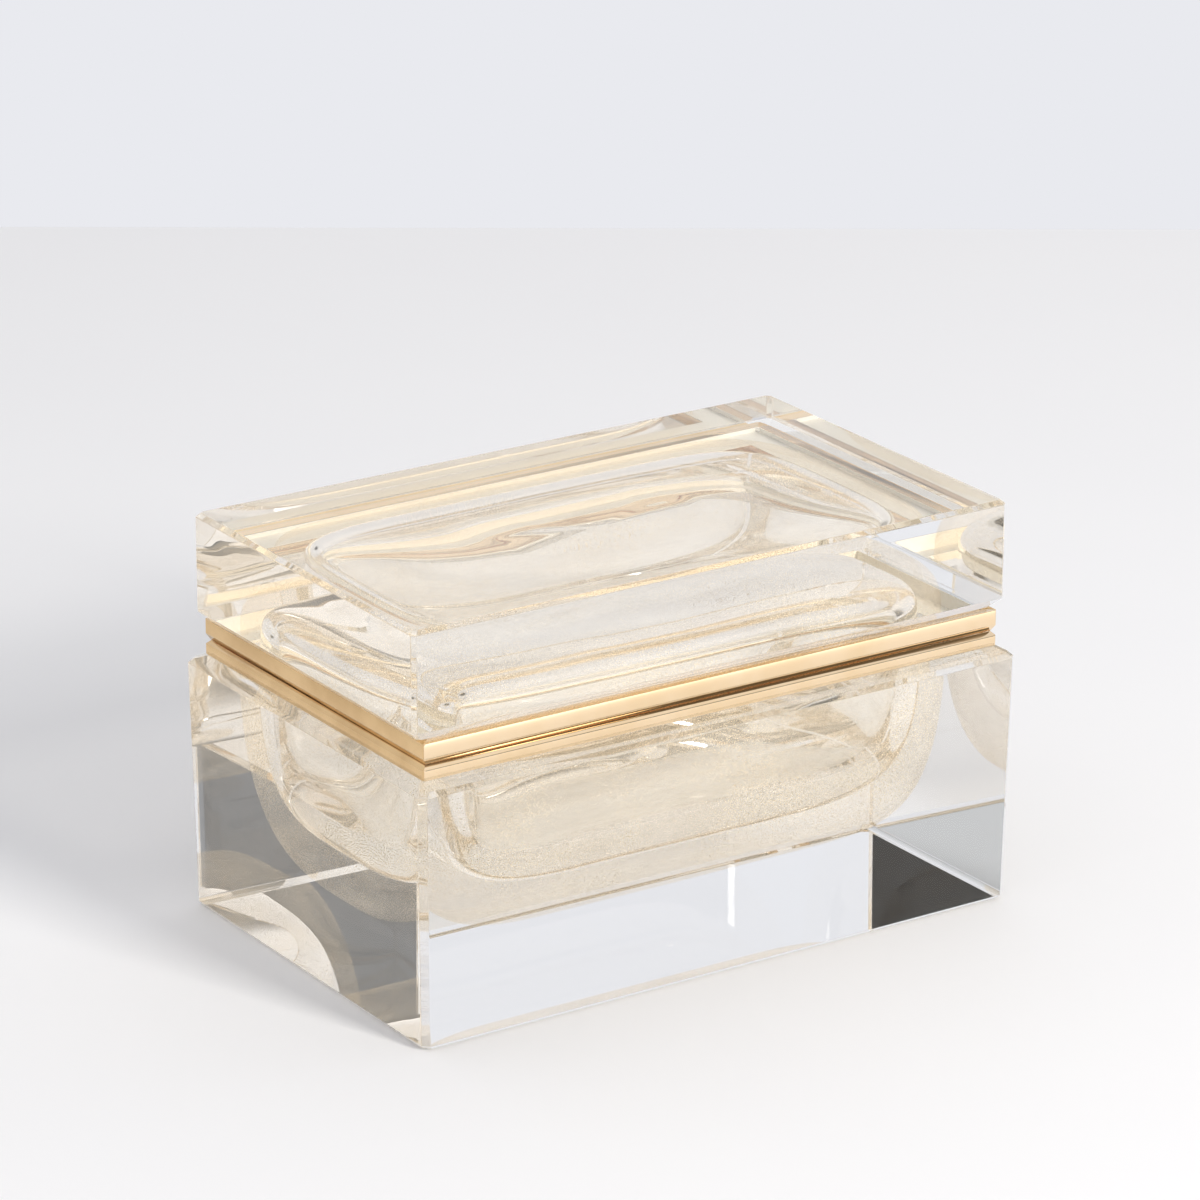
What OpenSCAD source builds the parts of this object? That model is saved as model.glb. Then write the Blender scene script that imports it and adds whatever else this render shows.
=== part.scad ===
// Hinged casket of cased glass: a heavy clear block and lid, each lined with
// gold-dusted glass, edged with mitred gilt-brass rims and joined by a long hinge.
// X runs along the long side, Y points to the back, Z up. The origin is at the
// centre of the foot, on the surface the casket stands on.

/* [Base block] */
// Length of the base block at its shoulder
base_l = 160; // [140:1:190]
// Depth of the base block at its shoulder, front to back
base_d = 102; // [94:1:124]
// Height from the foot to the face the lower rim sits on
base_h = 62; // [54:1:80]
// How far each side leans in between shoulder and foot
base_lean = 0.95; // [0.2:0.05:2]
// Fall of the sloping shoulder outside the rims
shoulder_fall = 1.3; // [0.6:0.1:2]
// Width of the polished chamfer along the shoulder's edge
shoulder_chamfer = 1.1; // [0.6:0.1:1.8]
// Width of the polished chamfer on the four upright edges
base_upright_chamfer = 1.5; // [0.8:0.1:2.4]
// Width of the polished chamfer round the foot
foot_chamfer = 1; // [0.5:0.1:2]

/* [Lid block] */
// Height of the lid's glass above the rims
lid_h = 26; // [23:1:36]
// How far the lid's glass reaches past the rims at each end
lid_overhang_l = 2.35; // [1.5:0.05:3.2]
// How far the lid's glass stays inside the rims' long faces
lid_setback_d = 0.1; // [0:0.05:0.3]
// Bevel under the lid, where the glass turns in to the rims
lid_under_bevel = 2.5; // [1.5:0.1:2.6]
// Bevel round the lid's top
lid_top_bevel = 1; // [0.5:0.1:2]
// Width of the chamfer on the lid's upright edges
lid_upright_chamfer = 0.9; // [0.5:0.1:1.5]

/* [Cased cavities] */
// Clear glass between the block's side and the gold layer, at the mouth
casing_wall = 8.5; // [8.2:0.1:12]
// Clear glass under the gold layer of the base
floor_glass = 15; // [12:0.5:26]
// Clear glass over the gold layer of the lid
crown_glass = 14; // [13:0.5:18]
// Thickness of the gold-dusted lining at the mouth
lining_wall = 6; // [5.75:0.25:7]
// Thickness of the base lining at its floor
lining_floor = 10; // [7:0.25:12]
// Thickness of the lid lining at its crown
lining_crown = 4; // [3:0.25:5]
// Squareness of the gold layer along its length, 2 is an ellipse
outer_length_power = 9; // [6:0.5:12]
// Squareness of the gold layer across its depth
outer_depth_power = 3; // [2.6:0.1:5]
// Squareness of the base's gold layer toward its floor
outer_fall_power = 2.5; // [2.2:0.1:4]
// Squareness of the hollow along its length
inner_length_power = 7; // [5:0.5:9]
// Squareness of the hollow across its depth
inner_depth_power = 4; // [3:0.1:5]
// Squareness of the hollow of the base toward its floor
inner_fall_power = 3; // [2.4:0.1:4]
// Squareness of both lid surfaces toward the crown
crown_power = 4; // [3:0.2:6]

/* [Brass rims] */
// Set-in of the rims from the ends of the base block
rim_inset_l = 3.2; // [2.6:0.1:5]
// Set-in of the rims from the front and back of the base block
rim_inset_d = 4; // [3.9:0.1:5]
// Thickness of each rail's upright band
band_t = 2.8; // [2.7:0.1:3.4]
// Width of each rail's flange, from its outer face to the mouth
flange_w = 10; // [8.5:0.25:10.25]
// Thickness of each rail's flange
flange_t = 1.2; // [0.8:0.1:1.6]
// Height of the lower rim
lower_rim_h = 3.3; // [2.8:0.1:4.5]
// Rise of the bevel along the lower rim's top edge
lower_bevel_h = 1; // [0.5:0.1:1.2]
// Height of the upper rim
upper_rim_h = 5.1; // [4.8:0.1:6.5]
// Height of the undercut bevel along the upper rim's bottom edge
upper_bevel_h = 1.7; // [1:0.1:2.2]
// Depth of both bevels
bevel_in = 1; // [0.6:0.1:1.4]
// Radius of the rims' polished corners
rim_corner_r = 0.6; // [0.3:0.1:1.2]
// Gap between the closed rims
seam = 0.1; // [0.05:0.05:0.3]
// Gap between a glass neck and the band round it
neck_gap = 0.1; // [0.05:0.05:0.2]
// Thickness of the cement between glass and flange
cement_t = 0.2; // [0.1:0.05:0.3]

/* [Hinge] */
// Number of knuckles, an odd number
knuckle_count = 7; // [5:2:11]
// Set-in of the barrel from the ends of the rims
hinge_inset = 2.8; // [2:0.2:20]
// Outer radius of the knuckles
knuckle_r = 1.4; // [1.3:0.05:1.45]
// Radius of the hinge pin
pin_r = 0.7; // [0.55:0.05:0.8]
// Radial clearance of the pin in the lid's knuckles
running_clearance = 0.05; // [0.03:0.01:0.08]
// Gap between neighbouring knuckles
knuckle_gap = 0.2; // [0.1:0.05:0.4]
// Clearance round a knuckle where the other leaf is cut back
swing_clearance = 0.2; // [0.1:0.05:0.2]
// Distance of the hinge axis behind the rims
axis_back = 1.6; // [1.6:0.05:1.75]
// Height of the hinge axis above the seam
axis_up = 2.2; // [2.1:0.05:2.4]
// Thickness of the leaves where they lie on the rims
leaf_t = 0.85; // [0.7:0.05:0.9]
// Edge of rim left bare above and below the leaves
leaf_edge = 0.25; // [0.15:0.05:0.5]
// Reach of the lid leaf's stop heel behind the axis
heel_reach = 1.3; // [1.1:0.05:1.4]
// Gap between the barrel and the heel over it
heel_gap = 0.25; // [0.2:0.05:0.4]
// Width of the stop ledge under the middle knuckle
ledge_w = 24; // [14:1:40]
// Reach of the stop ledge behind the axis
ledge_reach = 2.2; // [2:0.05:2.3]
// Thickness of the stop ledge
ledge_t = 1; // [0.7:0.05:1.1]
// Depth of the ledge's top below the hinge axis
ledge_drop = 1.7; // [1.65:0.05:1.75]

/* [Hidden] */

clear_tint = [0.86, 0.91, 0.94, 0.35];
gold_tint = [0.86, 0.76, 0.55, 0.7];
brass_tint = [0.87, 0.71, 0.42];
cement_tint = [0.83, 0.8, 0.72];
$fn = 48;

// Points round each cavity ring and rings down its depth
ring_points = 44;
ring_count = 13;
// Angle at which the bowl's profile ends in its flat floor
floor_angle = 84;
// How far a cutting solid runs past the face it cuts
over = 1;

// Half sizes of the rims and of the necks inside their bands
rim_hl = base_l / 2 - rim_inset_l;
rim_hd = base_d / 2 - rim_inset_d;
neck_hl = rim_hl - band_t - neck_gap;
neck_hd = rim_hd - band_t - neck_gap;

// Heights, from the foot up
lower_rim_top = base_h + lower_rim_h;
upper_rim_z = lower_rim_top + seam;
upper_rim_top = upper_rim_z + upper_rim_h;
lid_top = upper_rim_top + lid_h;
base_mouth = lower_rim_top - flange_t - cement_t;
lid_mouth = upper_rim_z + flange_t + cement_t;

// Half sizes of the lid block and of the linings at the mouth
lid_hl = rim_hl + lid_overhang_l;
lid_hd = rim_hd - lid_setback_d;
lining_hl = base_l / 2 - casing_wall;
lining_hd = base_d / 2 - casing_wall;

// Hinge axis and barrel
axis_y = rim_hd + axis_back;
axis_z = upper_rim_z + axis_up;
barrel_l = 2 * (rim_hl - hinge_inset);
knuckle_pitch = (barrel_l + knuckle_gap) / knuckle_count;
knuckle_l = knuckle_pitch - knuckle_gap;

// Rectangle with cut corners, counter-clockwise from above
function cut_ring(hl, hd, cut, z) = [
    [hl, -hd + cut, z], [hl, hd - cut, z], [hl - cut, hd, z], [-hl + cut, hd, z],
    [-hl, hd - cut, z], [-hl, -hd + cut, z], [-hl + cut, -hd, z], [hl - cut, -hd, z]
];

// Superellipse, counter-clockwise from above
function signed_pow(v, e) = sign(v) * pow(abs(v), e);
function soft_ring(hl, hd, powers, z) = [
    for (i = [0 : ring_points - 1])
        let (t = 360 * (i + 0.5) / ring_points)
        [hl * signed_pow(cos(t), 2 / powers.x), hd * signed_pow(sin(t), 2 / powers.y), z]
];

// Rings of a bath-shaped bowl from its mouth to its floor: the mouth stands straight
// and the sides round over into the floor. A floor above the mouth makes a crown.
function bowl_rings(hl, hd, powers, mouth, floor_z) = [
    for (j = [0 : ring_count - 1])
        let (
            a = floor_angle * j / (ring_count - 1),
            fall = pow(sin(a) / sin(floor_angle), 2 / powers.z)
        )
        soft_ring(
            hl * pow(cos(a), 2 / powers.x), hd * pow(cos(a), 2 / powers.y), powers,
            mouth + (floor_z - mouth) * fall)
];

function flipped(list) = [for (i = [len(list) - 1 : -1 : 0]) list[i]];
function upward(rings) = rings[0][0].z < rings[len(rings) - 1][0].z ? rings : flipped(rings);

// Skin through a stack of rings with equal point counts
module loft(stack) {
    rings = upward(stack);
    n = len(rings[0]);
    m = len(rings);
    caps = [[for (i = [0 : n - 1]) i], [for (i = [n - 1 : -1 : 0]) (m - 1) * n + i]];
    sides = [
        for (j = [0 : m - 2], i = [0 : n - 1])
            let (a = j * n + i, b = j * n + (i + 1) % n)
            each [[a, a + n, b + n], [a, b + n, b]]
    ];
    polyhedron(points = [for (r = rings) each r], faces = concat(caps, sides));
}

// Same bowl as a cutting solid, run out past its mouth
module bowl_cut(rings, mouth, out) {
    top = [for (p = rings[0]) [p.x, p.y, mouth + out]];
    loft(concat([top], rings));
}

// The four cavity surfaces
base_outer = bowl_rings(
    lining_hl, lining_hd, [outer_length_power, outer_depth_power, outer_fall_power],
    base_mouth, floor_glass);
base_inner = bowl_rings(
    lining_hl - lining_wall, lining_hd - lining_wall,
    [inner_length_power, inner_depth_power, inner_fall_power],
    base_mouth, floor_glass + lining_floor);
lid_outer = bowl_rings(
    lining_hl, lining_hd, [outer_length_power, outer_depth_power, crown_power],
    lid_mouth, lid_top - crown_glass);
lid_inner = bowl_rings(
    lining_hl - lining_wall, lining_hd - lining_wall,
    [inner_length_power, inner_depth_power, crown_power],
    lid_mouth, lid_top - crown_glass - lining_crown);

module base_block() {
    hl = base_l / 2;
    hd = base_d / 2;
    c = base_upright_chamfer;
    edge_z = base_h - shoulder_fall;
    foot_in = base_lean + foot_chamfer;
    loft([
        cut_ring(hl - foot_in, hd - foot_in, c, 0),
        cut_ring(hl - base_lean, hd - base_lean, c, foot_chamfer),
        cut_ring(hl, hd, c, edge_z - shoulder_chamfer),
        cut_ring(hl - shoulder_chamfer, hd - shoulder_chamfer, c, edge_z),
        cut_ring(rim_hl, rim_hd, rim_corner_r, base_h),
        cut_ring(neck_hl, neck_hd, rim_corner_r, base_h),
        cut_ring(neck_hl, neck_hd, rim_corner_r, base_mouth)
    ]);
}

module base_glass_casing() {
    color(clear_tint) difference() {
        base_block();
        bowl_cut(base_outer, base_mouth, over);
    }
}

module base_gold_lining() {
    color(gold_tint) difference() {
        loft(base_outer);
        bowl_cut(base_inner, base_mouth, over);
    }
}

module lid_block() {
    c = lid_upright_chamfer;
    ub = lid_under_bevel;
    tb = lid_top_bevel;
    loft([
        cut_ring(neck_hl, neck_hd, rim_corner_r, lid_mouth),
        cut_ring(neck_hl, neck_hd, rim_corner_r, upper_rim_top),
        cut_ring(lid_hl - ub, lid_hd - ub, c, upper_rim_top),
        cut_ring(lid_hl, lid_hd, c, upper_rim_top + ub),
        cut_ring(lid_hl, lid_hd, c, lid_top - tb),
        cut_ring(lid_hl - tb, lid_hd - tb, c, lid_top)
    ]);
}

module lid_glass_casing() {
    color(clear_tint) difference() {
        lid_block();
        bowl_cut(lid_outer, lid_mouth, -over);
    }
}

module lid_gold_lining() {
    color(gold_tint) difference() {
        loft(lid_outer);
        bowl_cut(lid_inner, lid_mouth, -over);
    }
}

// Drawn angle section, measured inward from the rail's outer face and up from its base
lower_section = [
    [0, 0], [band_t, 0], [band_t, lower_rim_h - flange_t], [flange_w, lower_rim_h - flange_t],
    [flange_w, lower_rim_h], [bevel_in, lower_rim_h], [0, lower_rim_h - lower_bevel_h]
];
upper_section = [
    [bevel_in, 0], [flange_w, 0], [flange_w, flange_t], [band_t, flange_t],
    [band_t, upper_rim_h], [0, upper_rim_h], [0, upper_bevel_h]
];

// Plan of a whole rim with its polished corners
module rim_plan() {
    r = rim_corner_r;
    square([2 * rim_hl, 2 * (rim_hd - r)], center = true);
    square([2 * (rim_hl - r), 2 * rim_hd], center = true);
    for (sx = [-1, 1], sy = [-1, 1])
        translate([sx * (rim_hl - r), sy * (rim_hd - r)]) circle(r);
}

// One rail of a rim, drawn for the front and mitred at 45 degrees; hl is half the length
// of its outer face, hd the distance of that face from the middle
module rail_bar(section, hl, hd) {
    intersection() {
        translate([0, -hd, 0]) rotate([90, 0, 90])
            linear_extrude(2 * hl + 2 * over, center = true) polygon(section);
        translate([0, -hd, -over]) linear_extrude(upper_rim_h + lower_rim_h + 2 * over)
            polygon([[-hl, 0], [hl, 0], [hl - flange_w, flange_w], [-hl + flange_w, flange_w]]);
    }
}

module rail(section, base_z, side) {
    turn = side == "front" ? 0 : side == "right" ? 90 : side == "rear" ? 180 : 270;
    across = side == "left" || side == "right";
    color(brass_tint) translate([0, 0, base_z]) intersection() {
        rotate([0, 0, turn])
            rail_bar(section, across ? rim_hd : rim_hl, across ? rim_hl : rim_hd);
        translate([0, 0, -over]) linear_extrude(upper_rim_h + 2 * over) rim_plan();
    }
}

module lower_rail_front() { rail(lower_section, base_h, "front"); }
module lower_rail_rear() { rail(lower_section, base_h, "rear"); }
module lower_rail_left() { rail(lower_section, base_h, "left"); }
module lower_rail_right() { rail(lower_section, base_h, "right"); }
module upper_rail_front() { rail(upper_section, upper_rim_z, "front"); }
module upper_rail_rear() { rail(upper_section, upper_rim_z, "rear"); }
module upper_rail_left() { rail(upper_section, upper_rim_z, "left"); }
module upper_rail_right() { rail(upper_section, upper_rim_z, "right"); }

// Bed of cement between a neck's end and the flange over it
module cement_bed(z) {
    color(cement_tint) translate([0, 0, z]) linear_extrude(cement_t) difference() {
        square([2 * neck_hl, 2 * neck_hd], center = true);
        square([2 * (rim_hl - flange_w), 2 * (rim_hd - flange_w)], center = true);
    }
}

module lower_cement_bed() { cement_bed(base_mouth); }
module upper_cement_bed() { cement_bed(lid_mouth - cement_t); }

// Even knuckles belong to the base, odd ones to the lid
function owned(lid_side) = [for (i = [0 : knuckle_count - 1]) if ((i % 2 == 1) == lid_side) i];

// A round bar on the hinge axis at each knuckle of one side
module at_knuckles(lid_side, r, l) {
    for (i = owned(lid_side))
        translate([(i - (knuckle_count - 1) / 2) * knuckle_pitch, axis_y, axis_z])
            rotate([0, 90, 0]) cylinder(r = r, h = l, center = true);
}

// Strip along the rear rim, given by its corners relative to the hinge axis
module strip(length, y0, z0, y1, z1) {
    translate([-length / 2, axis_y + y0, axis_z + z0]) cube([length, y1 - y0, z1 - z0]);
}

// Cuts a leaf to seat its own knuckles and to clear the other leaf's
module fitted_leaf(lid_side) {
    difference() {
        children();
        at_knuckles(lid_side, knuckle_r, knuckle_l + 2 * knuckle_gap);
        at_knuckles(!lid_side, knuckle_r + swing_clearance, knuckle_l + 2 * knuckle_gap);
    }
}

// Where the leaves meet the barrel
leaf_front = -axis_back;
leaf_back = -axis_back + leaf_t;
seat_in = knuckle_r * 0.55;
lower_leaf_top = lower_rim_top - axis_z;
heel_bottom = knuckle_r + heel_gap;
heel_top = upper_rim_h - leaf_edge - axis_up;

module hinge_lower_leaf() {
    color(brass_tint) fitted_leaf(false) {
        strip(barrel_l, leaf_front, base_h + leaf_edge - axis_z, leaf_back, lower_leaf_top);
        intersection() {
            strip(barrel_l, leaf_front + leaf_edge, lower_leaf_top - leaf_t, leaf_back, -seat_in);
            at_knuckles(false, 2 * knuckle_r + axis_up, knuckle_l);
        }
        strip(ledge_w, leaf_front, -ledge_drop - ledge_t, ledge_reach, -ledge_drop);
    }
}

module hinge_upper_leaf() {
    color(brass_tint) fitted_leaf(true) {
        strip(barrel_l, leaf_front, seat_in, leaf_back, heel_top);
        strip(barrel_l, leaf_front, heel_bottom, heel_reach, heel_top);
    }
}

module hinge_lower_knuckles() {
    color(brass_tint) difference() {
        at_knuckles(false, knuckle_r, knuckle_l);
        at_knuckles(false, pin_r, knuckle_l + over);
    }
}

module hinge_upper_knuckles() {
    color(brass_tint) difference() {
        at_knuckles(true, knuckle_r, knuckle_l);
        at_knuckles(true, pin_r + running_clearance, knuckle_l + over);
    }
}

module hinge_pin() {
    color(brass_tint) translate([0, axis_y, axis_z]) rotate([0, 90, 0])
        cylinder(r = pin_r, h = barrel_l, center = true);
}

base_glass_casing();
base_gold_lining();
lid_glass_casing();
lid_gold_lining();
lower_rail_front();
lower_rail_rear();
lower_rail_left();
lower_rail_right();
upper_rail_front();
upper_rail_rear();
upper_rail_left();
upper_rail_right();
lower_cement_bed();
upper_cement_bed();
hinge_lower_leaf();
hinge_lower_knuckles();
hinge_upper_leaf();
hinge_upper_knuckles();
hinge_pin();
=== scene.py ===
import bpy
import math
from mathutils import Matrix, Vector, noise


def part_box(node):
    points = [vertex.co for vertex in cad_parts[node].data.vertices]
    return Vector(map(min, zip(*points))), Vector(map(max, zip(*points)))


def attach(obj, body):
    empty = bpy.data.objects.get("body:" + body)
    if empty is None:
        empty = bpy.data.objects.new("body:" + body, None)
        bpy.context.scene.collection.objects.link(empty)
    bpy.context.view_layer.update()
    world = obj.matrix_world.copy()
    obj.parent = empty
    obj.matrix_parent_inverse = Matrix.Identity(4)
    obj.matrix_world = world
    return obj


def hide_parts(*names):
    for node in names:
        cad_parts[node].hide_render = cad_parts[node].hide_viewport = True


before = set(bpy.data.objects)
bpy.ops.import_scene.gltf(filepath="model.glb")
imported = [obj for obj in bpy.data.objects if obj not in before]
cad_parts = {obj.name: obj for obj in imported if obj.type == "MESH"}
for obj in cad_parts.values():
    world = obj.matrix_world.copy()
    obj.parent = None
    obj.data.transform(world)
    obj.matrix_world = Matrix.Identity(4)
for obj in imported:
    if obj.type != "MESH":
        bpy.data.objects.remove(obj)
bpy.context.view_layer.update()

mm = 0.001


def deselectAll():
    if bpy.context.object and bpy.context.object.mode != "OBJECT":
        bpy.ops.object.mode_set(mode="OBJECT")
    bpy.ops.object.select_all(action="DESELECT")


def makeActive(thing):
    deselectAll()
    thing.select_set(True)
    bpy.context.view_layer.objects.active = thing


def editAll(thing, mode="FACE"):
    makeActive(thing)
    bpy.ops.object.mode_set(mode="EDIT")
    bpy.ops.mesh.select_mode(type=mode)
    bpy.ops.mesh.select_all(action="SELECT")


def pickFaces(thing, wanted):
    editAll(thing)
    bpy.ops.mesh.select_all(action="DESELECT")
    bpy.ops.object.mode_set(mode="OBJECT")
    for face in thing.data.polygons:
        face.select = wanted(face)
    bpy.ops.object.mode_set(mode="EDIT")


def pickEdges(thing, wanted):
    editAll(thing, "EDGE")
    bpy.ops.mesh.select_all(action="DESELECT")
    bpy.ops.object.mode_set(mode="OBJECT")
    for edge in thing.data.edges:
        a, b = (thing.data.vertices[i].co for i in edge.vertices)
        edge.select = wanted(a, b)
    bpy.ops.object.mode_set(mode="EDIT")


def endEdit():
    bpy.ops.object.mode_set(mode="OBJECT")


def applyModifier(thing, kind, **settings):
    makeActive(thing)
    modifier = thing.modifiers.new(kind.title(), kind)
    for key, value in settings.items():
        setattr(modifier, key, value)
    bpy.ops.object.modifier_apply(modifier=modifier.name)


def softEdges(thing, width, angle=20, segments=2):
    applyModifier(thing, "BEVEL", width=width, segments=segments, limit_method="ANGLE",
                  angle_limit=math.radians(angle), use_clamp_overlap=True)


def smoothByAngle(thing, angle=30):
    makeActive(thing)
    bpy.ops.object.shade_smooth_by_angle(angle=math.radians(angle))


def settle(thing):
    # leaves a finished piece at the origin, unturned and unscaled
    makeActive(thing)
    bpy.ops.object.transform_apply(location=True, rotation=True, scale=True)


class Wire:
    def __init__(self, graph, socket):
        self.graph, self.socket = graph, socket

    def maths(self, operation, other, turned=False):
        pair = (other, self) if turned else (self, other)
        return self.graph.make("ShaderNodeMath", {"operation": operation}, *pair)

    def __add__(self, other): return self.maths("ADD", other)
    def __radd__(self, other): return self.maths("ADD", other, True)
    def __sub__(self, other): return self.maths("SUBTRACT", other)
    def __rsub__(self, other): return self.maths("SUBTRACT", other, True)
    def __mul__(self, other): return self.maths("MULTIPLY", other)
    def __rmul__(self, other): return self.maths("MULTIPLY", other, True)
    def __abs__(self): return self.maths("ABSOLUTE", 0.0)


class Graph:
    def __init__(self, tree):
        self.tree = tree
        tree.nodes.clear()

    def make(self, kind, settings=None, *values, out=0, **named):
        node = self.tree.nodes.new(kind)
        for key, value in (settings or {}).items():
            setattr(node, key, value)
        slots = list(enumerate(values))
        slots += [(name.replace("_", " "), value) for name, value in named.items()]
        for key, value in slots:
            if isinstance(value, Wire):
                self.tree.links.new(value.socket, node.inputs[key])
            else:
                node.inputs[key].default_value = value
        return Wire(self, node.outputs[out]) if len(node.outputs) else node

    def noise(self, place, scale, detail=2.0, roughness=0.5, distortion=0.0):
        return self.make("ShaderNodeTexNoise", {}, Vector=place, Scale=scale, Detail=detail,
                         Roughness=roughness, Distortion=distortion)

    def remap(self, value, low, high, toLow=0.0, toHigh=1.0, kind="SMOOTHSTEP"):
        return self.make("ShaderNodeMapRange", {"interpolation_type": kind}, value,
                         low, high, toLow, toHigh)

    def blend(self, factor, first, second):
        wire = self.make("ShaderNodeMix", {"data_type": "RGBA"}, out=2)
        inputs = wire.socket.node.inputs
        for key, value in ((0, factor), (6, first), (7, second)):
            if isinstance(value, Wire):
                self.tree.links.new(value.socket, inputs[key])
            else:
                inputs[key].default_value = value
        return wire

    def place(self):
        return self.make("ShaderNodeTexCoord", out=3)

    def stretched(self, place, x, y, z):
        return self.make("ShaderNodeVectorMath", {"operation": "MULTIPLY"}, place, (x, y, z))

    def finish(self, surface):
        end = self.make("ShaderNodeOutputMaterial")
        self.tree.links.new(surface.socket, end.inputs["Surface"])


def newMaterial(name):
    material = bpy.data.materials.new(name)
    material.use_nodes = True
    return material, Graph(material.node_tree)


clearGlassLook = {
    "tint": (0.982, 0.987, 0.984),
    "paleTint": (0.989, 0.993, 0.990), "tintScale": 26,
    "ior": 1.52,
    "longHairlines": (60, 900, 900), "crossHairlines": (1100, 260, 140),
    "scratchPatches": 34, "scratches": 0.05,
    "waviness": 0.03 * mm, "waveScale": 14, "waveStrength": 0.25,
    "lampTint": (0.99, 0.99, 0.985),      # lamp light that a face lets straight through
    "bentTint": (0.42, 0.42, 0.43),       # the same where thick ends and foot bend it away
    "shade": 0.45,                        # share of it that the box's whole shadow gets
    "footTop": 12 * mm, "endStart": 66 * mm, "fade": 10 * mm,
}


def makeClearGlass():
    look = clearGlassLook
    material, g = newMaterial("clearGlass")
    place = g.place()
    colour = g.blend(g.noise(place, look["tintScale"], 3), (*look["tint"], 1),
                     (*look["paleTint"], 1))
    long = g.noise(g.stretched(place, *look["longHairlines"]), 1.0, 2)
    cross = g.noise(g.stretched(place, *look["crossHairlines"]), 1.0, 2)
    patch = g.remap(g.noise(place, look["scratchPatches"], 2), 0.5, 0.7)
    scratch = (g.remap(long, 0.70, 0.80) + g.remap(cross, 0.72, 0.82)) * patch
    bump = g.make("ShaderNodeBump", {}, Strength=look["waveStrength"],
                  Distance=look["waviness"], Height=g.noise(place, look["waveScale"], 1))
    glass = g.make("ShaderNodeBsdfPrincipled", {"distribution": "GGX"}, Base_Color=colour,
                   Roughness=scratch * look["scratches"], IOR=look["ior"],
                   Transmission_Weight=1.0, Normal=bump)
    lengthwise = abs(g.make("ShaderNodeSeparateXYZ", {}, place))
    height = g.make("ShaderNodeSeparateXYZ", {}, place, out=2)
    foot = g.remap(height, look["footTop"], look["footTop"] + look["fade"], 1, 0)
    thick = foot.maths("MAXIMUM", g.remap(lengthwise, look["endStart"],
                                          look["endStart"] + look["fade"]))
    # darker only on what the camera sees directly, so that the inside of the glass stays bright
    path = g.make("ShaderNodeLightPath").socket.node.outputs
    thick = thick.maths("MAXIMUM", look["shade"]) * g.remap(Wire(g, path["Ray Depth"]), 1, 2,
                                                            1, 0, "LINEAR")
    clear = g.make("ShaderNodeMixShader", {}, thick,
                   g.make("ShaderNodeBsdfTransparent", {}, Color=(*look["lampTint"], 1)),
                   g.make("ShaderNodeBsdfTransparent", {}, Color=(*look["bentTint"], 1)))
    lampRay = Wire(g, path["Is Shadow Ray"])
    g.finish(g.make("ShaderNodeMixShader", {}, lampRay, glass, clear))
    return material


goldDustLook = {
    "veil": (0.998, 0.984, 0.962),        # what the clear places between the grains let through
    "haze": (1.0, 0.93, 0.80),
    "gold": (1.0, 0.83, 0.58),
    "grainScale": 2000,
    "cloudScale": 30, "sparse": 0.16, "dense": 0.31,      # reach of a grain within its cell
    "grainEdge": 0.6, "grainCover": 0.75,
    "streaks": (12, 34, 90), "streakHaze": (0.3, 2.0), "hazeCover": 0.05,
    "flakeTilt": 1.0, "roughness": 0.34, "glint": 0.12, "ior": 1.2,
    "openToLamps": 0.6,                   # share of the dust that lamp light passes
}


def makeGoldDust():
    look = goldDustLook
    material, g = newMaterial("goldDust")
    place = g.place()
    grains = g.make("ShaderNodeTexVoronoi", {"feature": "F1"}, Vector=place,
                    Scale=look["grainScale"], Randomness=1.0)
    cloud = g.noise(place, look["cloudScale"], 3, 0.55)
    density = g.remap(cloud, 0.40, 0.62, look["sparse"], look["dense"])
    grain = g.remap(grains, density, density * look["grainEdge"], 0, 1, "LINEAR")
    streak = g.noise(g.stretched(place, *look["streaks"]), 1.0, 3, 0.55, 0.5)
    haze = g.remap(streak, 0.38, 0.66, *look["streakHaze"]) * look["hazeCover"]
    lampRay = g.make("ShaderNodeLightPath", out=1)       # a lamp shines between the flakes
    cover = g.make("ShaderNodeClamp", {}, (grain * look["grainCover"] + haze)
                   * (1 - lampRay * look["openToLamps"]))
    # each grain is a flake that lies its own way, so that some glint and others stay dark
    tilt = Wire(g, grains.socket.node.outputs["Color"])
    tilt = g.make("ShaderNodeVectorMath", {"operation": "MULTIPLY_ADD"}, tilt,
                  (look["flakeTilt"],) * 3, (-look["flakeTilt"] / 2,) * 3)
    facing = g.make("ShaderNodeVectorMath", {"operation": "ADD"}, tilt,
                    g.make("ShaderNodeNewGeometry", out=1))
    dust = g.make("ShaderNodeBsdfPrincipled", {},
                  Base_Color=g.blend(grain, (*look["haze"], 1), (*look["gold"], 1)),
                  Roughness=look["roughness"], Metallic=grain * look["glint"],
                  IOR=look["ior"],
                  Normal=g.make("ShaderNodeVectorMath", {"operation": "NORMALIZE"}, facing))
    veil = g.make("ShaderNodeBsdfTransparent", {}, Color=(*look["veil"], 1))
    g.finish(g.make("ShaderNodeMixShader", {}, cover, veil, dust))
    return material


brassLooks = {
    "railGold": {"bright": (0.95, 0.745, 0.50), "deep": (0.90, 0.68, 0.42),
                 "roughness": 0.07, "grain": 0.06},
    # a darker copy of railGold for the short rails: painted shade, with a rougher satin grain
    # besides
    "shadedEndRailGold": {"bright": (0.80, 0.56, 0.29), "deep": (0.67, 0.45, 0.22),
                    "roughness": 0.16, "grain": 0.30},
    "hingeGold": {"bright": (0.93, 0.70, 0.39), "deep": (0.84, 0.60, 0.31),
                  "roughness": 0.14, "grain": 0.15},
}


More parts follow.
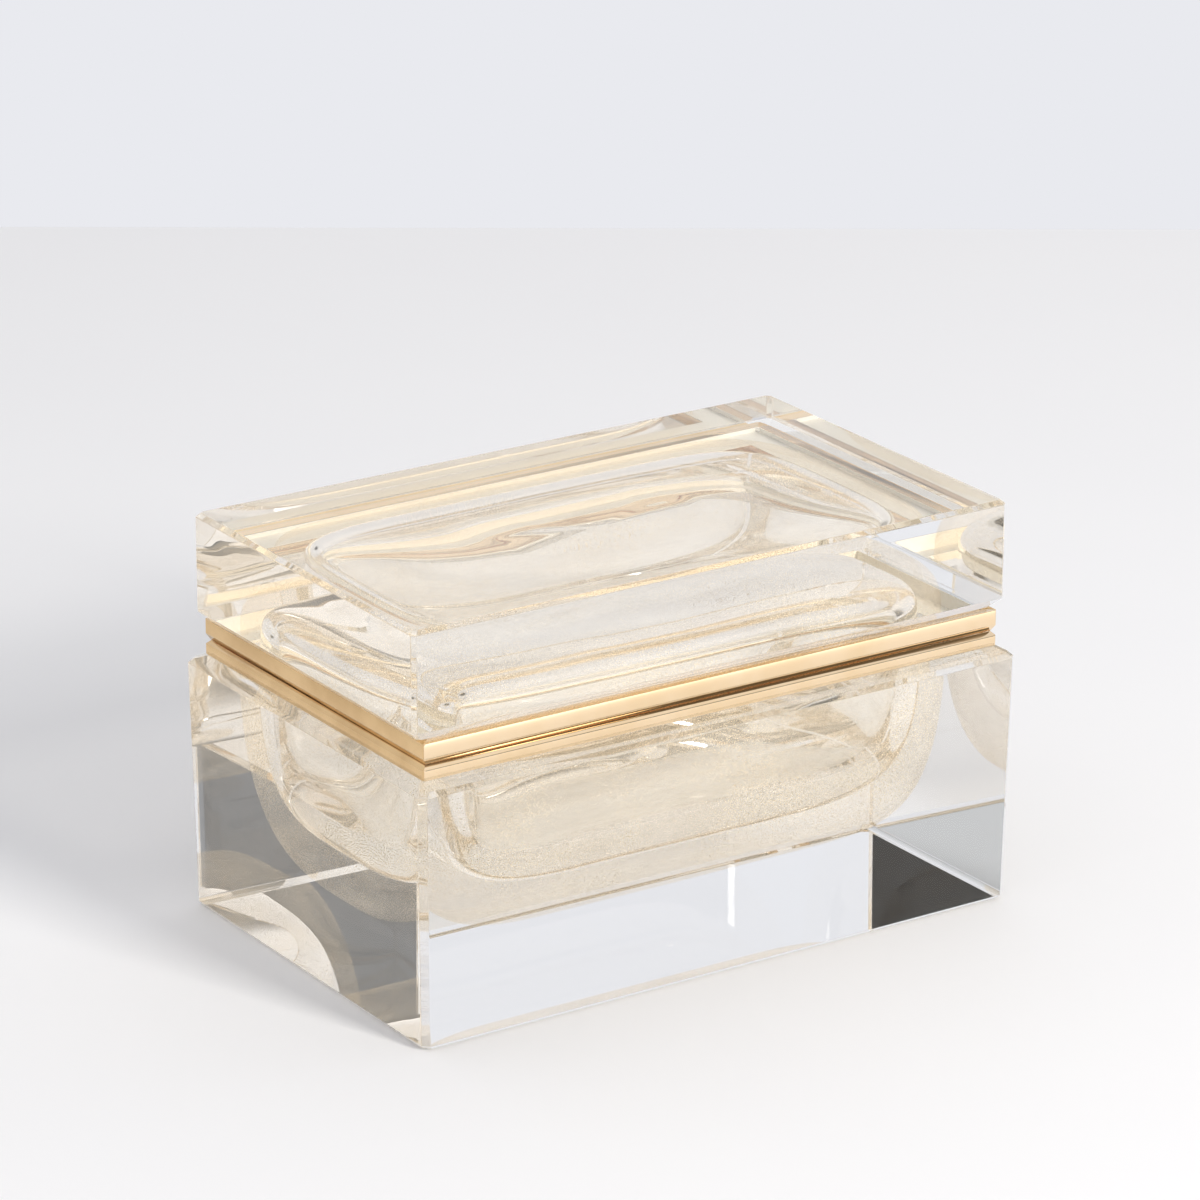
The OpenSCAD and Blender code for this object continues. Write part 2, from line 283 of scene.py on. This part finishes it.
def makeBrass(name):
    look = brassLooks[name]
    material, g = newMaterial(name)
    place = g.place()
    patch = g.noise(place, 55, 4, 0.6)
    wipe = g.noise(g.stretched(place, 60, 60, 900), 1.0, 5, 0.6)
    bump = g.make("ShaderNodeBump", {}, Strength=look["grain"], Distance=0.04 * mm,
                  Height=wipe + patch * 0.6)
    metal = g.make("ShaderNodeBsdfPrincipled", {},
                   Base_Color=g.blend(g.remap(patch, 0.35, 0.7), (*look["bright"], 1),
                                      (*look["deep"], 1)),
                   Metallic=1.0, Normal=bump,
                   Roughness=g.remap(wipe, 0.3, 0.75, look["roughness"] * 0.6,
                                     look["roughness"] * 1.5))
    g.finish(metal)
    return material


cementLook = {
    "dark": (0.80, 0.76, 0.66), "pale": (0.90, 0.87, 0.79),
    "gritScale": 900, "gritStrength": 0.3, "gritHeight": 0.05 * mm, "roughness": 0.75,
}


def makeCement():
    look = cementLook
    material, g = newMaterial("paleCement")
    grit = g.noise(g.place(), look["gritScale"], 3)
    bump = g.make("ShaderNodeBump", {}, Strength=look["gritStrength"],
                  Distance=look["gritHeight"], Height=grit)
    g.finish(g.make("ShaderNodeBsdfPrincipled", {}, Roughness=look["roughness"], Normal=bump,
                    Base_Color=g.blend(grit, (*look["dark"], 1), (*look["pale"], 1))))
    return material


clearGlass = makeClearGlass()
goldDust = makeGoldDust()
railGold = makeBrass("railGold")
# the short rails' gold, darkened as painted shade
shadedEndRailGold = makeBrass("shadedEndRailGold")
hingeGold = makeBrass("hingeGold")
cementPaste = makeCement()
print("materials made")


def dress(thing, material, body, slot, *nodes):
    thing.data.materials.clear()
    thing.data.materials.append(material)
    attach(thing, body)
    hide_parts(*nodes)


# boxes measured off the frame, so that the glass keeps meeting the brass
baseCasing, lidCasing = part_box("base_glass_casing"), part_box("lid_glass_casing")
baseLining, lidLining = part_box("base_gold_lining"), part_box("lid_gold_lining")
lowerRim = {"left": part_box("lower_rail_left"), "front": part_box("lower_rail_front")}
upperRim = {"left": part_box("upper_rail_left"), "front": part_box("upper_rail_front")}
bandThickness, neckGap = 2.8 * mm, 0.1 * mm      # as in the solids, which the boxes don't show
neck = {
    "halfLength": -lowerRim["left"][0][0] - bandThickness - neckGap,
    "halfDepth": -lowerRim["front"][0][1] - bandThickness - neckGap,
}
# glass between the gold layer and the air, as in the solids: at the mouth, floor and crown
hollowWall, hollowFloor, hollowCrown = 6 * mm, 10 * mm, 4 * mm
neckStep = 0.02 * mm                    # the ledge round each neck slopes by this much
noise.seed_set(7)                       # Blender seeds this noise from the clock otherwise


def bathForm(name, form):
    # a ball pressed out to a rounded bath, with the slight waviness of glass shaped by hand
    deselectAll()
    bpy.ops.mesh.primitive_uv_sphere_add(segments=192, ring_count=96, radius=1)
    ball = bpy.context.object
    ball.name = name
    powers = (form["lengthPower"], form["depthPower"], form["fallPower"])
    size = (form["halfLength"], form["halfDepth"], abs(form["endZ"] - form["mouthZ"]))
    seed = Vector((form["seed"], 0, 0))
    for vertex in ball.data.vertices:
        spot = Vector([math.copysign(abs(v) ** (2 / power) * reach, v)
                       for v, power, reach in zip(vertex.co, powers, size)])
        wobble = noise.noise_vector(spot / form["waveLength"] + seed) * form["waveHeight"]
        fade = min(1, abs(spot.z) / form["groundMouth"])
        vertex.co = spot + wobble * fade
        vertex.co.z += form["mouthZ"]
    return ball


def stackBlock(name, steps, cut):
    # a cube, its upright edges cut off, then its cap drawn up and sized step by step
    (lowZ, lowLength, lowDepth), (z, length, depth) = steps[:2]
    deselectAll()
    bpy.ops.mesh.primitive_cube_add(size=2, location=(0, 0, (lowZ + z) / 2),
                                    scale=(lowLength, lowDepth, (z - lowZ) / 2))
    block = bpy.context.object
    block.name = name
    settle(block)
    pickEdges(block, lambda a, b: a.x == b.x and a.y == b.y)
    bpy.ops.mesh.bevel(offset=cut, segments=1, affect="EDGES")
    endEdit()
    pickFaces(block, lambda face: face.normal.z > 0.9)
    bpy.ops.transform.resize(value=(length / lowLength, depth / lowDepth, 1),
                             center_override=(0, 0, z))
    for nextZ, nextLength, nextDepth in steps[2:]:
        bpy.ops.mesh.extrude_region_move(TRANSFORM_OT_translate={"value": (0, 0, nextZ - z)})
        bpy.ops.transform.resize(value=(nextLength / length, nextDepth / depth, 1),
                                 center_override=(0, 0, nextZ))
        z, length, depth = nextZ, nextLength, nextDepth
    endEdit()
    return block


def hollowOut(block, form):
    cutter = bathForm("cutter", form)
    applyModifier(block, "BOOLEAN", operation="DIFFERENCE", solver="EXACT", object=cutter)
    bpy.data.objects.remove(cutter)
    smoothByAngle(block, 28)
    applyModifier(block, "WEIGHTED_NORMAL", mode="FACE_AREA", weight=100, keep_sharp=True)


def goldSkin(name, form, trim=0.1 * mm, thickness=0.2 * mm):
    # the dusted layer: a bath form cut off at the mouth and given a hair's thickness
    skin = bathForm(name, form)
    upward = form["endZ"] > form["mouthZ"]
    editAll(skin)
    bpy.ops.mesh.bisect(plane_co=(0, 0, form["mouthZ"] + (trim if upward else -trim)),
                        plane_no=(0, 0, 1), clear_inner=upward, clear_outer=not upward)
    endEdit()
    applyModifier(skin, "SOLIDIFY", thickness=thickness, offset=-1)
    smoothByAngle(skin, 50)
    return skin


baseBlock = {
    "halfLength": baseCasing[1][0], "halfDepth": baseCasing[1][1],
    "mouthZ": baseCasing[1][2], "rimZ": lowerRim["front"][0][2],
    "rimHalfLength": -lowerRim["left"][0][0], "rimHalfDepth": -lowerRim["front"][0][1],
    "lean": 0.95 * mm, "shoulderFall": 1.3 * mm,
    "uprightChamfer": 1.5 * mm, "shoulderChamfer": 1.1 * mm, "footChamfer": 1.0 * mm,
    "edgeRounding": 0.14 * mm,
}
baseGoldForm = {
    "halfLength": baseLining[1][0], "halfDepth": baseLining[1][1],
    "mouthZ": baseCasing[1][2], "endZ": baseLining[0][2],
    "lengthPower": 9.0, "depthPower": 3.0, "fallPower": 2.5,
    "waveHeight": 0.25 * mm, "waveLength": 30 * mm, "seed": 3.1,
    "groundMouth": 4 * mm,                # next to the mouth the waves die out
}
baseHollowForm = dict(
    baseGoldForm, halfLength=baseLining[1][0] - hollowWall,
    halfDepth=baseLining[1][1] - hollowWall, endZ=baseLining[0][2] + hollowFloor,
    lengthPower=7.0, depthPower=4.0, fallPower=3.0, waveHeight=0.35 * mm, seed=8.6)


def makeBase():
    b = baseBlock
    length, depth, lean, foot = b["halfLength"], b["halfDepth"], b["lean"], b["footChamfer"]
    shoulder = b["shoulderChamfer"]
    edgeZ = b["rimZ"] - b["shoulderFall"]
    block = stackBlock("baseGlass", [
        (0, length - lean - foot, depth - lean - foot),
        (foot, length - lean, depth - lean),
        (edgeZ - shoulder, length, depth),
        (edgeZ, length - shoulder, depth - shoulder),
        (b["rimZ"], b["rimHalfLength"], b["rimHalfDepth"]),
        (b["rimZ"] - neckStep, neck["halfLength"], neck["halfDepth"]),
        (b["mouthZ"], neck["halfLength"], neck["halfDepth"]),
    ], b["uprightChamfer"])
    softEdges(block, b["edgeRounding"])
    hollowOut(block, baseHollowForm)
    dress(block, clearGlass, "base", "clear_glass", "base_glass_casing")
    dress(goldSkin("baseGold", baseGoldForm), goldDust, "base", "gold_glass", "base_gold_lining")


makeBase()
print("base glass made")


lidBlock = {
    "halfLength": lidCasing[1][0], "halfDepth": lidCasing[1][1],
    "mouthZ": lidCasing[0][2], "rimZ": upperRim["front"][1][2], "topZ": lidCasing[1][2],
    "uprightChamfer": 0.9 * mm, "underBevel": 2.5 * mm, "topBevel": 1.0 * mm,
    "edgeRounding": 0.35 * mm,
}
lidGoldForm = dict(
    baseGoldForm, mouthZ=lidCasing[0][2], endZ=lidLining[1][2], fallPower=4.0, seed=5.4)
lidHollowForm = dict(
    baseHollowForm, mouthZ=lidCasing[0][2], endZ=lidLining[1][2] - hollowCrown, fallPower=4.0,
    waveHeight=0.45 * mm, seed=1.7)


def makeLid():
    b = lidBlock
    length, depth, under, top = b["halfLength"], b["halfDepth"], b["underBevel"], b["topBevel"]
    block = stackBlock("lidGlass", [
        (b["mouthZ"], neck["halfLength"], neck["halfDepth"]),
        (b["rimZ"] + neckStep, neck["halfLength"], neck["halfDepth"]),
        (b["rimZ"], length - under, depth - under),
        (b["rimZ"] + under, length, depth),
        (b["topZ"] - top, length, depth),
        (b["topZ"], length - top, depth - top),
    ], b["uprightChamfer"])
    softEdges(block, b["edgeRounding"], segments=3)
    hollowOut(block, lidHollowForm)
    dress(block, clearGlass, "lid", "clear_glass", "lid_glass_casing")
    dress(goldSkin("lidGold", lidGoldForm), goldDust, "lid", "gold_glass", "lid_gold_lining")


makeLid()
print("lid glass made")


polish = {"rail": 0.1 * mm, "hinge": 0.05 * mm}      # rounding that polishing leaves on edges


def polishedCopy(node, width):
    copy = bpy.data.objects.new(node + "_polished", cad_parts[node].data.copy())
    bpy.context.scene.collection.objects.link(copy)
    editAll(copy)
    bpy.ops.mesh.remove_doubles(threshold=0.002 * mm)
    bpy.ops.mesh.dissolve_limited(angle_limit=math.radians(1))
    endEdit()
    softEdges(copy, width, 25)
    smoothByAngle(copy, 40)
    return copy


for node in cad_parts:
    body = "lid" if node.startswith(("upper", "hinge_upper")) else "base"
    if "rail" in node:
        # the short rails get a darker gold, which is painted shade for the shadowed floor they
        # mirror, and a rougher satin grain; the long ones are buffed bright
        finish = shadedEndRailGold if node.endswith(("left", "right")) else railGold
        dress(polishedCopy(node, polish["rail"]), finish, body, "gilt_brass", node)
    elif node.startswith("hinge"):
        dress(polishedCopy(node, polish["hinge"]), hingeGold, body, "hinge_brass", node)
print("rims and hinge polished")


cementBed = {
    "wet": 0.04 * mm,        # drawn this far into the glass, so that no air lies between
    "skin": 0.09 * mm, "shelfLift": 0.001 * mm,
    "depth": 0.19 * mm,
    "innerHalfLength": baseHollowForm["halfLength"] + 1.3 * mm,
    "innerHalfDepth": baseHollowForm["halfDepth"] + 0.5 * mm,
}


def cementCap(name, b, up):
    # a flat ring on the neck's end with a film down its sides: one loop drawn round the section
    c = cementBed
    length, depth, wet, skin = neck["halfLength"], neck["halfDepth"], c["wet"], c["skin"]
    below, seat = b["mouthZ"] - up * c["depth"], b["mouthZ"] + up * wet
    shelf = b["rimZ"] + up * c["shelfLift"]
    section = [
        (length + skin, depth + skin, below), (length + skin, depth + skin, shelf),
        (length - wet, depth - wet, shelf), (length - wet, depth - wet, seat),
        (c["innerHalfLength"], c["innerHalfDepth"], seat),
        (c["innerHalfLength"], c["innerHalfDepth"], below),
    ]
    halfLength, halfDepth, z = section[0]
    deselectAll()
    bpy.ops.mesh.primitive_plane_add(size=2, location=(0, 0, z))
    ring = bpy.context.object
    ring.name = name
    ring.scale = (halfLength, halfDepth, 1)
    settle(ring)
    editAll(ring)
    bpy.ops.mesh.delete(type="ONLY_FACE")
    bpy.ops.mesh.select_mode(type="EDGE")
    bpy.ops.mesh.select_all(action="SELECT")
    for nextLength, nextDepth, nextZ in section[1:] + section[:1]:
        bpy.ops.mesh.extrude_edges_move(TRANSFORM_OT_translate={"value": (0, 0, nextZ - z)})
        bpy.ops.transform.resize(value=(nextLength / halfLength, nextDepth / halfDepth, 1),
                                 center_override=(0, 0, nextZ))
        halfLength, halfDepth, z = nextLength, nextDepth, nextZ
    bpy.ops.mesh.select_all(action="SELECT")
    bpy.ops.mesh.remove_doubles(threshold=0.0005 * mm)
    bpy.ops.mesh.normals_make_consistent(inside=False)
    endEdit()
    return ring


dress(cementCap("lowerCement", baseBlock, -1), cementPaste, "base", "cement", "lower_cement_bed")
dress(cementCap("upperCement", lidBlock, 1), cementPaste, "lid", "cement", "upper_cement_bed")
print("cement laid")


studio = {
    "yaw": math.radians(33.51), "pitch": math.radians(19.99), "roll": math.radians(0.12),
    "eye": (-0.6818, -1.0290, 0.5229),
    "focalPixels": 5790.2, "photoPixels": 1200, "sensor": 36,
    "floorEdge": 1.787, "floorReach": 3.0,
    "floorDrop": 0.2 * mm, "floorColour": (0.90, 0.90, 0.91), "floorPale": (0.92, 0.92, 0.925),
    "wallColour": (0.815, 0.823, 0.863),
    "overhead": (0.94, 0.94, 0.96), "overheadCone": (0.55, 0.85),
    "fill": 0.77,                         # share of the wall's light that falls on things
    "frontSide": (0.46, -0.74, 0.10), "frontGrey": (0.14, 0.14, 0.14), "frontCone": (0.66, 0.90),
    # a dark spot with a softer ring, seen through glass only
    "darkSide": (-0.512, 0.716, 0.475), "darkGrey": (0.002, 0.002, 0.002),
    "darkCone": (0.9915, 0.9935),
    "dimGrey": (0.56, 0.57, 0.58), "dimCone": (0.978, 0.9905),
    # the lamp as glass and brass see it
    "lampSide": (0.183, -0.880, 0.438), "lampGlow": 15.0, "lampCone": (0.986, 0.992),
    "keyPlace": (0.432, -2.11, 1.05), "keySize": 0.5, "keyWatts": 53,
    "keyColour": (1.0, 0.97, 0.93),
}
ahead = Vector((math.sin(studio["yaw"]), math.cos(studio["yaw"]), 0))


def makeFloor():
    eye = Vector((*studio["eye"][:2], 0))
    reach = studio["floorReach"]
    middle = eye + ahead * (studio["floorEdge"] - reach)
    deselectAll()
    bpy.ops.mesh.primitive_plane_add(size=2, location=(middle.x, middle.y, -studio["floorDrop"]))
    table = bpy.context.object
    table.name = "paleTable"
    table.scale = (reach * 1.5, reach, 1)
    table.rotation_euler.z = -studio["yaw"]
    settle(table)
    material, g = newMaterial("paleTableTop")
    place = g.place()
    bump = g.make("ShaderNodeBump", {}, Strength=0.05, Distance=0.2 * mm,
                  Height=g.noise(place, 700, 2))
    g.finish(g.make("ShaderNodeBsdfPrincipled", {}, Roughness=0.7, Normal=bump,
                    Base_Color=g.blend(g.noise(place, 9, 3), (*studio["floorColour"], 1),
                                       (*studio["floorPale"], 1))))
    table.data.materials.append(material)


def makeWorld():
    world = bpy.data.worlds.new("studioWorld")
    world.use_nodes = True
    bpy.context.scene.world = world
    g = Graph(world.node_tree)
    way = g.make("ShaderNodeTexCoord")

    def toward(direction):
        return g.make("ShaderNodeVectorMath", {"operation": "DOT_PRODUCT"}, way,
                      tuple(Vector(direction).normalized()), out=1)

    s = studio
    colour = g.blend(g.remap(toward((0, 0, 1)), *s["overheadCone"]), (*s["wallColour"], 1),
                     (*s["overhead"], 1))
    colour = g.blend(g.remap(toward(s["frontSide"]), *s["frontCone"]), colour,
                     (*s["frontGrey"], 1))
    path = g.make("ShaderNodeLightPath").socket.node.outputs
    through = Wire(g, path["Is Transmission Ray"])
    colour = g.blend(g.remap(toward(s["darkSide"]), *s["dimCone"]) * through, colour,
                     (*s["dimGrey"], 1))
    colour = g.blend(g.remap(toward(s["darkSide"]), *s["darkCone"]) * through, colour,
                     (*s["darkGrey"], 1))
    seen = Wire(g, path["Is Glossy Ray"]) + through
    lampSpot = g.remap(toward(s["lampSide"]), *s["lampCone"]) * seen
    strength = g.remap(seen + Wire(g, path["Is Camera Ray"]), 0, 1, s["fill"], 1, "LINEAR")
    light = g.make("ShaderNodeBackground", {}, Color=colour,
                   Strength=strength + lampSpot * s["lampGlow"])
    end = g.make("ShaderNodeOutputWorld")
    g.tree.links.new(light.socket, end.inputs["Surface"])


def makeKeyLamp():
    deselectAll()
    bpy.ops.object.light_add(type="AREA", location=studio["keyPlace"])
    lamp = bpy.context.object
    lamp.name = "keyLamp"
    lamp.data.size = studio["keySize"]
    lamp.data.energy = studio["keyWatts"]
    lamp.data.color = studio["keyColour"]
    lamp.rotation_euler = (-Vector(studio["keyPlace"])).to_track_quat("-Z", "Y").to_euler()
    lamp.visible_transmission = lamp.visible_glossy = False


def makeCamera():
    turn = Matrix.Rotation(-studio["yaw"], 3, "Z")
    tilt = Matrix.Rotation(math.pi / 2 - studio["pitch"], 3, "X")
    roll = Matrix.Rotation(studio["roll"], 3, "Z")
    deselectAll()
    bpy.ops.object.camera_add(location=studio["eye"], rotation=(turn @ tilt @ roll).to_euler())
    camera = bpy.context.object
    camera.name = "photoCamera"
    camera.data.sensor_width = studio["sensor"]
    camera.data.lens = (studio["focalPixels"] / studio["photoPixels"]
                        * studio["sensor"])
    camera.data.clip_start, camera.data.clip_end = 0.05, 50
    bpy.context.scene.camera = camera


makeFloor()
makeWorld()
makeKeyLamp()
makeCamera()

scene = bpy.context.scene
scene.view_settings.view_transform = "Standard"
scene.cycles.max_bounces = 18
scene.cycles.transmission_bounces = 18
scene.cycles.transparent_max_bounces = 28
scene.cycles.glossy_bounces = 16
print("studio made")
